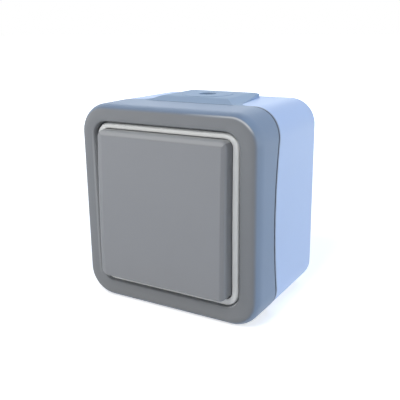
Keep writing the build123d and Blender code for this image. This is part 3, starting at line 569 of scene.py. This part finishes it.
    def _rim_group(self) -> bpy.types.NodeTree:
        """Softened top and sides of a flat key: a normal that leans outwards, and a painted highlight as a
        paler upper band.

        Returns:
            The group.
        """
        wiring, source, sink = self._start(
            "soft_rim_and_painted_light",
            {"Half Width": (Socket.FLOAT, 27.4 * MM), "Top": (Socket.FLOAT, 29.5 * MM),
             "Reach": (Socket.FLOAT, 1.8 * MM), "Drop": (Socket.FLOAT, 0.9 * MM),
             "Colour": (Socket.COLOUR, UNSET)},
            {"Normal": Socket.VECTOR, "Colour": Socket.COLOUR},
        )
        place = wiring.split(wiring.place())
        side_gap = wiring.calc("SUBTRACT", source["Half Width"], wiring.calc("ABSOLUTE", place["X"]))
        top_gap = wiring.calc("SUBTRACT", source["Top"], place["Z"])
        gap = wiring.calc("MINIMUM", side_gap, top_gap)
        rim = wiring.ramp(gap, 0.0, source["Reach"], start=1.0, end=0.0, smooth=False)
        bump = wiring.bump(wiring.product(rim, -1.0), source["Drop"])
        wiring.feed(sink["Normal"], bump.outputs["Normal"])
        # Painted highlight: a paler band along the upper rim.
        upper = wiring.calc("LESS_THAN", top_gap, side_gap)
        mask = wiring.product(upper, wiring.ramp(rim, 0.0, RIM_BAND))
        wiring.feed(sink["Colour"], wiring.blend("RGBA", mask, source["Colour"], PAINTED_RIM_HIGHLIGHT))
        return wiring.tree

    def _streak_group(self) -> bpy.types.NodeTree:
        """Drawn streaks and tarnish on sheet metal.

        Returns:
            The group.
        """
        wiring, source, sink = self._start(
            "drawn_streaks",
            {"Colour": (Socket.COLOUR, UNSET), "Frequency": (Socket.FLOAT, 2000.0),
             "Depth": (Socket.FLOAT, 0.01 * MM), "Tarnish": (Socket.FLOAT, 0.2)},
            {"Colour": Socket.COLOUR, "Streak": Socket.FLOAT, "Normal": Socket.VECTOR},
        )
        stretch = wiring.add("ShaderNodeMapping")
        wiring.feed(stretch.inputs["Scale"], STREAK_STRETCH)
        wiring.feed(stretch.inputs["Vector"], wiring.place())
        streak = wiring.noise(source["Frequency"], detail=2.0, vector=stretch.outputs["Vector"])
        dark = wiring.product(streak, source["Tarnish"])
        wiring.feed(sink["Colour"], wiring.blend("RGBA", dark, source["Colour"], TARNISH))
        wiring.feed(sink["Streak"], streak)
        bump = wiring.bump(streak, source["Depth"], STREAK_STRENGTH)
        wiring.feed(sink["Normal"], bump.outputs["Normal"])
        return wiring.tree

    @staticmethod
    def _use(wiring: Wiring, group: bpy.types.NodeTree, **values: Fed) -> bpy.types.NodeOutputs:
        """Places a group in a material.

        Args:
            wiring: The material's wiring.
            group: The group.
            values: Input name to a socket or a value.

        Returns:
            What comes out of the group.
        """
        node = wiring.add("ShaderNodeGroup", node_tree=group)
        for name, value in values.items():
            wiring.feed(node.inputs[name], value)
        return node.outputs

    def _apply_effect(
        self, wiring: Wiring, group: bpy.types.NodeTree, colour: Fed, amount: float, **values: Fed
    ) -> Fed:
        """Colour after an effect that lays dust, dirt, painted shade or painted light on it.

        Args:
            wiring: The material's wiring.
            group: The effect's group.
            colour: Colour before it.
            amount: Share of the effect. At 0 the group is left out.
            values: Other input names to a socket or a value.

        Returns:
            The colour.
        """
        if not amount:
            return colour
        return self._use(wiring, group, Colour=colour, Amount=amount, **values)["Colour"]

    def plastic(self, finish: PlasticFinish) -> bpy.types.Material:
        """Material of a moulded piece.

        Args:
            finish: Its values.

        Returns:
            The new material.
        """
        material, wiring, shader = new_material(finish.name, finish.colour)
        colour, front, bent = finish.colour, 0.0, UNBENT
        if finish.crisp:
            crisp = self._use(wiring, self.crisp, Share=finish.crisp)
            front, bent = crisp["Front"], crisp["Normal"]
            # Painted light: the outer faces that turn away from the front get a bluer, side-lit copy of the
            # colour.
            if finish.painted_side_light:
                colour = wiring.blend("RGBA", crisp["Face"], finish.painted_side_light, finish.colour)
        drift = {"Colour": colour, "Share": finish.mottle, "Frequency": MOTTLE_FREQUENCY}
        mottle = self._use(wiring, self.mottle, **drift)
        colour = self._apply_effect(wiring, self.dust, mottle["Colour"], finish.dust, Frequency=DUST_FREQUENCY)
        # Painted shade and dirt along the joint of box and frame.
        colour = self._apply_effect(wiring, self.seam, colour, finish.seam, Reach=finish.seam_reach)
        # Painted highlight along the upper front edge.
        colour = self._apply_effect(wiring, self.corner, colour, finish.corner_highlight, Front=front)
        # Painted light on the lip beside the key.
        colour = self._apply_effect(wiring, self.lip, colour, finish.painted_lip_light)
        # Softened rim, with a painted highlight along its upper band.
        if finish.soft_rim_and_painted_light:
            rim = self._use(wiring, self.rim, Colour=colour, Reach=finish.soft_rim_and_painted_light)
            colour, bent = rim["Colour"], rim["Normal"]
        surface = {"Frequency": 1.0 / finish.grain_size, "Depth": finish.grain_depth, "Normal": bent}
        grain = self._use(wiring, self.grain, **surface)
        wiring.feed(shader["Specular IOR Level"], finish.specular)
        wiring.feed(shader["Base Color"], colour)
        wiring.feed(shader["Normal"], grain["Normal"])
        wiring.feed(shader["Roughness"], self._roughness(wiring, grain["Pits"], mottle["Drift"], finish))
        return material

    @staticmethod
    def _roughness(
        wiring: Wiring, pits: bpy.types.NodeSocket, drift: bpy.types.NodeSocket, finish: PlasticFinish
    ) -> bpy.types.NodeSocket:
        """Roughness that rises in the pits of the grain and drifts with the melt.

        Args:
            wiring: The material's wiring.
            pits: Mask of the pits.
            drift: Slow drift.
            finish: Values of the material.

        Returns:
            The roughness.
        """
        spread = finish.coat.value
        both = wiring.calc("ADD", wiring.product(pits, spread), wiring.product(drift, spread))
        return wiring.calc("ADD", both, finish.roughness - spread)

    def metal(self, finish: MetalFinish) -> bpy.types.Material:
        """Material of a metal piece.

        Args:
            finish: Its values.

        Returns:
            The new material.
        """
        material, wiring, shader = new_material(finish.name, finish.colour)
        frequency = 1.0 / finish.streak_size
        drawn = {"Colour": finish.colour, "Frequency": frequency, "Tarnish": finish.tarnish}
        streaks = self._use(wiring, self.streaks, **drawn)
        wiring.feed(shader["Metallic"], 1.0)
        wiring.feed(shader["Base Color"], streaks["Colour"])
        wiring.feed(shader["Normal"], streaks["Normal"])
        spread = wiring.product(streaks["Streak"], STREAK_ROUGHNESS)
        wiring.feed(shader["Roughness"], wiring.calc("ADD", spread, finish.roughness))
        return material


def new_material(name: str, colour: Rgb) -> tuple[bpy.types.Material, Wiring, bpy.types.NodeInputs]:
    """Starts a material.

    Args:
        name: Its name.
        colour: Its base colour, as far as nothing is linked to that.

    Returns:
        The material, its wiring and the inputs of its Principled BSDF.
    """
    material = bpy.data.materials.new(name)
    material.use_nodes = True
    wiring, shader = Wiring(material.node_tree), material.node_tree.nodes["Principled BSDF"].inputs
    wiring.feed(shader["Base Color"], colour)
    return material, wiring, shader


def stand(name: str, data: bpy.types.ID) -> bpy.types.Object:
    """Stands a new object in the scene.

    Args:
        name: Its name.
        data: Its mesh, lamp or camera.

    Returns:
        The object.
    """
    thing = bpy.data.objects.new(name, data)
    bpy.context.scene.collection.objects.link(thing)
    return thing


BOX_FINISH = PlasticFinish(
    name="box_pale_grey", colour=(0.485, 0.611, 0.880), roughness=0.42, coat=Coat.SATIN,
    grain_size=0.00022, grain_depth=0.000006, mottle=0.05, seam=0.75)
# The frame's side colour is painted light, a bluish side-lit copy of its grey front.
FRAME_FINISH = PlasticFinish(
    name="frame_mid_grey", colour=(0.266, 0.273, 0.286), roughness=0.46, coat=Coat.SATIN,
    grain_size=0.00022, grain_depth=0.000006, mottle=0.07, specular=0.35, seam=0.7, crisp=0.6,
    painted_side_light=(0.227, 0.296, 0.410), painted_lip_light=0.45, corner_highlight=0.9)
ROCKER_FINISH = PlasticFinish(
    name="rocker_grey", colour=(0.313, 0.318, 0.335), roughness=0.45, coat=Coat.GRAINED,
    grain_size=0.00025, grain_depth=0.00001, mottle=0.06, soft_rim_and_painted_light=0.0021)
RING_FINISH = PlasticFinish(
    name="ring_off_white", colour=(0.926, 0.924, 0.902), roughness=0.34, coat=Coat.SATIN,
    grain_size=0.0002, grain_depth=0.000004, mottle=0.04)
GLAND_FINISH = PlasticFinish(
    name="gland_rubber_grey", colour=(0.340, 0.445, 0.590), roughness=0.62, coat=Coat.RUBBERY,
    grain_size=0.0003, grain_depth=0.00001, mottle=0.10, specular=0.4, dust=0.1)
SEAL_FINISH = PlasticFinish(
    name="seal_rubber_dark", colour=(0.035, 0.036, 0.038), roughness=0.7, coat=Coat.RUBBERY,
    grain_size=0.0003, grain_depth=0.00001, mottle=0.1, specular=0.3)
INNER_FINISH = PlasticFinish(
    name="inner_moulding", colour=(0.62, 0.61, 0.58), roughness=0.5, coat=Coat.SATIN,
    grain_size=0.0003, grain_depth=0.000006, mottle=0.05)
STEEL_FINISH = MetalFinish(
    name="zinc_plated_steel", colour=(0.62, 0.62, 0.58), roughness=0.28,
    streak_size=0.0004, tarnish=0.15)
BRASS_FINISH = MetalFinish(
    name="stamped_brass", colour=(0.72, 0.52, 0.24), roughness=0.24,
    streak_size=0.0005, tarnish=0.25)


@dataclass(frozen=True)
class SoftBox:
    """Square soft box.

    Args:
        name: Name of the lamp.
        tint: Colour of its light.
        azimuth: Degrees from straight in front of the switch, positive to its right.
        elevation: Degrees above the level of the switch.
        reach: Metres from the switch.
        size: Side of the square, in metres.
        power: Power, in watts.
    """

    name: str
    tint: Rgb
    azimuth: float
    elevation: float
    reach: float
    size: float
    power: float

    def place(self, aim: Vector) -> Vector:
        """Place of the lamp's centre.

        Args:
            aim: Point that it looks at.

        Returns:
            The place, in metres.
        """
        side, rise = math.radians(self.azimuth), math.radians(self.elevation)
        flat = math.cos(rise)
        return aim + self.reach * Vector((math.sin(side) * flat, -math.cos(side) * flat, math.sin(rise)))


SOFT_BOXES = (
    SoftBox("key", WHITE, azimuth=2.0, elevation=50.0, reach=0.9, size=0.24, power=2.75),
    SoftBox("front_fill", WHITE, azimuth=-8.0, elevation=4.0, reach=1.2, size=0.9, power=1.5),
    SoftBox("left_fill", (0.97, 0.99, 1.0), azimuth=-62.0, elevation=12.0, reach=1.1, size=0.7, power=4.14),
    SoftBox("cool_near", (0.88, 0.95, 1.0), azimuth=112.0, elevation=10.0, reach=1.1, size=0.5, power=5.2),
    SoftBox("cool_top", (0.38, 0.64, 1.0), azimuth=150.0, elevation=62.0, reach=1.1, size=0.8, power=3.8),
    SoftBox("back_fill", (0.76, 0.88, 1.0), azimuth=212.0, elevation=24.0, reach=1.2, size=0.9, power=2.8),
)


@dataclass
class Studio:
    """Pale floor, soft light and the camera at the photograph's angle.

    Args:
        yaw: Degrees that the camera stands to the right of straight ahead.
        pitch: Degrees that it looks down.
        roll: Degrees that it is turned about its axis.
        distance: Metres from the aim point along the view.
        aim: Point that it looks at, in the row frame.
        shift_right: Metres that the camera is moved to its right.
        shift_up: Metres that it is moved up.
        lens: Focal length, in millimetres.
        sensor: Width of the sensor, in millimetres.
        near: Metres from which the camera sees.
        floor_half: Half the floor's side, in metres.
        floor_near: Radius round the switch within which the floor shows its full shadow.
        floor_far: Radius beyond which the floor is plain white to the camera.
        floor_glow: White that the floor adds for the camera inside the near radius.
        floor_grey: Share of the light that the floor throws back.
        floor_roughness: Roughness of the floor.
        floor_specular: Specular level of the floor.
        ambient: Strength of the surroundings as a light.
    """

    yaw: float = 30.99
    pitch: float = 15.99
    roll: float = -0.753
    distance: float = 0.24845
    aim: tuple[float, float, float] = (0.0, -0.0269, 0.0)
    shift_right: float = 0.00048
    shift_up: float = -0.00076
    lens: float = 56.291
    sensor: float = 36.0
    near: float = 0.01
    floor_half: float = 4.0
    floor_near: float = 0.06
    floor_far: float = 0.35
    floor_glow: float = 0.64
    floor_grey: float = 0.86
    floor_roughness: float = 0.9
    floor_specular: float = 0.1
    ambient: float = 0.060

    def camera(self) -> None:
        """Stands the camera where the photograph was taken from."""
        yaw, pitch, roll = (math.radians(value) for value in (self.yaw, self.pitch, self.roll))
        flat = math.cos(pitch)
        look = Vector((-math.sin(yaw) * flat, math.cos(yaw) * flat, -math.sin(pitch)))
        level = Vector((math.cos(yaw), math.sin(yaw), 0.0))
        above = level.cross(look)
        right = math.cos(roll) * level + math.sin(roll) * above
        up = math.cos(roll) * above - math.sin(roll) * level
        place = Vector(self.aim) - look * self.distance + right * self.shift_right + up * self.shift_up
        data = bpy.data.cameras.new("camera")
        data.lens, data.sensor_width, data.clip_start = self.lens, self.sensor, self.near
        camera = stand("camera", data)
        turn = Matrix((right, up, -look)).transposed().to_4x4()
        camera.matrix_world = Matrix.Translation(place) @ turn
        bpy.context.scene.camera = camera

    def lights(self) -> None:
        """Hangs the soft boxes round the switch."""
        aim = Vector(self.aim)
        for box in SOFT_BOXES:
            data = bpy.data.lights.new(box.name, "AREA")
            data.shape, data.size, data.energy, data.color = "SQUARE", box.size, box.power, box.tint
            lamp, place = stand(box.name, data), box.place(aim)
            lamp.location = place
            lamp.rotation_mode = "QUATERNION"
            lamp.rotation_quaternion = (aim - place).to_track_quat("-Z", "Y")

    def world(self) -> None:
        """Surroundings: white to the camera and in reflections, and a dim white light."""
        world = bpy.data.worlds.new("surroundings")
        bpy.context.scene.world = world
        world.use_nodes = True
        nodes, wiring = world.node_tree.nodes, Wiring(world.node_tree)
        dim, bright = nodes["Background"], wiring.add("ShaderNodeBackground")
        for background, strength in ((dim, self.ambient), (bright, 1.0)):
            wiring.feed(background.inputs["Color"], WHITE)
            wiring.feed(background.inputs["Strength"], strength)
        choice = wiring.add("ShaderNodeMixShader")
        for index, value in enumerate((wiring.seen(), dim.outputs[0], bright.outputs[0])):
            wiring.feed(choice.inputs[index], value)
        wiring.feed(nodes["World Output"].inputs["Surface"], choice.outputs[0])

    def floor(self) -> None:
        """Pale floor under the switch. It stays white to the camera, apart from the soft shadow."""
        low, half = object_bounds()[0].z, self.floor_half
        mesh = bpy.data.meshes.new("floor")
        corners = [(-half, -half, low), (half, -half, low), (half, half, low), (-half, half, low)]
        mesh.from_pydata(corners, [], [(0, 1, 2, 3)])
        floor = stand("floor", mesh)
        material, wiring, shader = new_material("pale_floor", (self.floor_grey,) * 3)
        wiring.feed(shader["Roughness"], self.floor_roughness)
        wiring.feed(shader["Specular IOR Level"], self.floor_specular)
        wiring.feed(shader["Emission Color"], WHITE)
        length = wiring.add("ShaderNodeVectorMath", operation="LENGTH")
        wiring.feed(length.inputs[0], wiring.place())
        radius = length.outputs["Value"]
        glow = wiring.ramp(radius, self.floor_near, self.floor_far, start=self.floor_glow)
        wiring.feed(shader["Emission Strength"], wiring.product(wiring.seen(), glow))
        mesh.materials.append(material)
        floor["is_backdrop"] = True

    def build(self) -> None:
        """Builds the whole studio."""
        self.camera()
        self.lights()
        self.world()
        self.floor()


class FinishStore:
    """Materials that have been made, so that each finish is made once."""

    def __init__(self, kit: ShaderKit) -> None:
        """Starts empty.

        Args:
            kit: Shared effects.
        """
        self.kit = kit
        self.made: dict[str, bpy.types.Material] = {}

    def material(self, finish: PlasticFinish | MetalFinish) -> bpy.types.Material:
        """Material of a finish.

        Args:
            finish: Its values.

        Returns:
            The material, made at its first use.
        """
        if finish.name not in self.made:
            plastic = isinstance(finish, PlasticFinish)
            self.made[finish.name] = self.kit.plastic(finish) if plastic else self.kit.metal(finish)
        return self.made[finish.name]

    def dress(self, pieces: dict[str, PlasticFinish | MetalFinish]) -> None:
        """Gives carried-over pieces their materials.

        Args:
            pieces: Name of each piece to its finish.
        """
        for node, finish in pieces.items():
            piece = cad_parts[node]
            piece.data.materials.clear()
            piece.data.materials.append(self.material(finish))
            log.info("dressed %s in %s", node, finish.name)


@dataclass
class Casing:
    """Rear box, gland, gasket and front frame with its screws."""

    box: PlasticFinish = BOX_FINISH
    gland: PlasticFinish = GLAND_FINISH
    gasket: PlasticFinish = SEAL_FINISH
    front: PlasticFinish = FRAME_FINISH
    screws: MetalFinish = STEEL_FINISH

    def dress(self, store: FinishStore) -> None:
        """Dresses the casing.

        Args:
            store: Materials made so far.
        """
        store.dress({
            "rear_box": self.box,
            "cable_gland": self.gland,
            "box_gasket": self.gasket,
            "front_frame": self.front,
            "frame_screws": self.screws,
        })


@dataclass(frozen=True)
class RoundedLoop:
    """Rounded rectangle that stands upright and faces the front.

    Args:
        half_width: Half its width.
        top: Height of its upper edge.
        bottom: Height of its lower edge.
        corner: Radius of its corners.
        corner_steps: Steps round one corner.
        side_steps: Steps along one side.
    """

    half_width: float
    top: float
    bottom: float
    corner: float
    corner_steps: int = 14
    side_steps: int = 22

    def points(self) -> list[tuple[Vector, Vector]]:
        """Points and outward directions, anticlockwise from the right side.

        Returns:
            Pairs of a point and its direction, both with Y at 0.
        """
        centres = (
            (self.half_width - self.corner, self.top - self.corner),
            (self.corner - self.half_width, self.top - self.corner),
            (self.corner - self.half_width, self.bottom + self.corner),
            (self.half_width - self.corner, self.bottom + self.corner),
        )
        found: list[tuple[Vector, Vector]] = []
        for quarter, (x, z) in enumerate(centres):
            for step in range(self.corner_steps + 1):
                angle = QUARTER_TURN * (quarter + step / self.corner_steps)
                out = Vector((math.cos(angle), 0.0, math.sin(angle)))
                found.append((Vector((x, 0.0, z)) + self.corner * out, out))
            following = centres[(quarter + 1) % len(centres)]
            start, out = found[-1]
            end = Vector((following[0], 0.0, following[1])) + self.corner * out
            for step in range(1, self.side_steps):
                found.append((start.lerp(end, step / self.side_steps), out))
        return found


@dataclass
class TrimAndRocker:
    """Off-white ring, the rocker that it frames and the seal behind them.

    Args:
        half_width: Half the ring's width, in metres like the other lengths.
        top: Height of its upper edge.
        bottom: Height of its lower edge.
        corner: Radius of its outer corners.
        hole_half_width: Half the width of its hole.
        hole_top: Height of the hole's upper edge.
        hole_bottom: Height of the hole's lower edge.
        hole_corner: Radius of the hole's corners.
        outer_round: Radius of its outer front edge.
        inner_round: Radius of the hole's front edge.
        round_steps: Steps of each rounding.
        face: Y of its face at the height where it stands out most.
        proud_height: That height.
        crown: Radius of its face, seen from the side.
        back: Y of its back.
    """

    half_width: float = 30.1 * MM
    top: float = 31.75 * MM
    bottom: float = -30.7 * MM
    corner: float = 5.2 * MM
    hole_half_width: float = 27.7 * MM
    hole_top: float = 29.7 * MM
    hole_bottom: float = -28.2 * MM
    hole_corner: float = 3.0 * MM
    outer_round: float = 0.9 * MM
    inner_round: float = 0.4 * MM
    round_steps: int = 6
    face: float = -51.1 * MM
    proud_height: float = -14.0 * MM
    crown: float = 1700.0 * MM
    back: float = -41.4 * MM
    trim: PlasticFinish = RING_FINISH
    rocker: PlasticFinish = ROCKER_FINISH
    seal: PlasticFinish = SEAL_FINISH

    def _face_at(self, height: float) -> float:
        """Y of the ring's crowned face at a height."""
        return self.face + (height - self.proud_height) ** 2 / (2.0 * self.crown)

    def _rows(self) -> list[list[Vector]]:
        """Closed rows of points from the outer wall over the face to the inner wall.

        Returns:
            The rows, all with as many points.
        """
        outer = RoundedLoop(self.half_width, self.top, self.bottom, self.corner).points()
        hole = RoundedLoop(self.hole_half_width, self.hole_top, self.hole_bottom, self.hole_corner)
        inner = hole.points()
        rows = [[Vector((point.x, self.back, point.z)) for point, _ in outer]]
        for loop, radius, side in ((outer, self.outer_round, -1), (inner, self.inner_round, 1)):
            for step in range(self.round_steps + 1)[::-side]:
                angle = QUARTER_TURN * step / self.round_steps
                inset, sink = radius * (1.0 - math.cos(angle)), radius * (1.0 - math.sin(angle))
                rows.append([
                    Vector((point.x, self._face_at(point.z) + sink, point.z)) + side * inset * out
                    for point, out in loop
                ])
        rows.append([Vector((point.x, self.back, point.z)) for point, _ in inner])
        return rows

    def build_ring(self, store: FinishStore) -> None:
        """Builds the ring with its crowned face and rounded edges.

        Args:
            store: Materials made so far.
        """
        rows = self._rows()
        count = len(rows[0])
        faces = []
        for row in range(len(rows)):
            below, above = row * count, (row + 1) % len(rows) * count
            for index in range(count):
                ahead = (index + 1) % count
                faces.append((below + index, below + ahead, above + ahead, above + index))
        mesh = bpy.data.meshes.new("trim_ring_soft")
        mesh.from_pydata([point for row in rows for point in row], [], faces)
        mesh.materials.append(store.material(self.trim))
        mesh.shade_smooth()
        ring = stand("trim_ring_soft", mesh)
        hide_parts("trim_ring")
        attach(ring, "case")
        log.info("built trim_ring_soft with %d faces", len(faces))

    def dress(self, store: FinishStore) -> None:
        """Dresses the rocker and the seal.

        Args:
            store: Materials made so far.
        """
        store.dress({"splash_seal": self.seal, "rocker_button": self.rocker})


@dataclass
class Mechanism:
    """Plate, housing, contacts and the levers that the rocker drives."""

    moulding: PlasticFinish = INNER_FINISH
    contact: MetalFinish = BRASS_FINISH
    fixing: MetalFinish = STEEL_FINISH

    def dress(self, store: FinishStore) -> None:
        """Dresses the mechanism.

        Args:
            store: Materials made so far.
        """
        store.dress({
            "support_plate": self.fixing,
            "support_screws": self.fixing,
            "switch_cover": self.moulding,
            "switch_housing": self.moulding,
            "case_screw": self.fixing,
            "upper_contact": self.contact,
            "lower_contact": self.contact,
            "common_contact": self.contact,
            "terminal_clamps": self.contact,
            "terminal_screws": self.fixing,
            "moving_contact": self.contact,
            "rocker_cradle": self.moulding,
            "plunger": self.moulding,
        })

    def build_spring(self, store: FinishStore) -> None:
        """Builds a copy of the spring's solid, as it stands at rest between the cradle and the plunger.

        Args:
            store: Materials made so far.
        """
        mesh = bpy.data.objects["plunger_spring"].data.copy()
        mesh.name = "plunger_spring_coil"
        mesh.materials.clear()
        mesh.materials.append(store.material(self.fixing))
        coil = stand("plunger_spring_coil", mesh)
        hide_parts("plunger_spring")
        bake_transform(coil)
        log.info("built plunger_spring_coil with %d faces", len(mesh.polygons))


def main() -> None:
    """Builds the classes in order and reports each piece."""
    logging.basicConfig(level=logging.INFO, format="%(message)s")
    bpy.context.scene.view_settings.view_transform = "Standard"
    store = FinishStore(ShaderKit())
    Casing().dress(store)
    front = TrimAndRocker()
    front.build_ring(store)
    front.dress(store)
    mechanism = Mechanism()
    mechanism.dress(store)
    mechanism.build_spring(store)
    Studio().build()


if __name__ == "__main__":
    main()
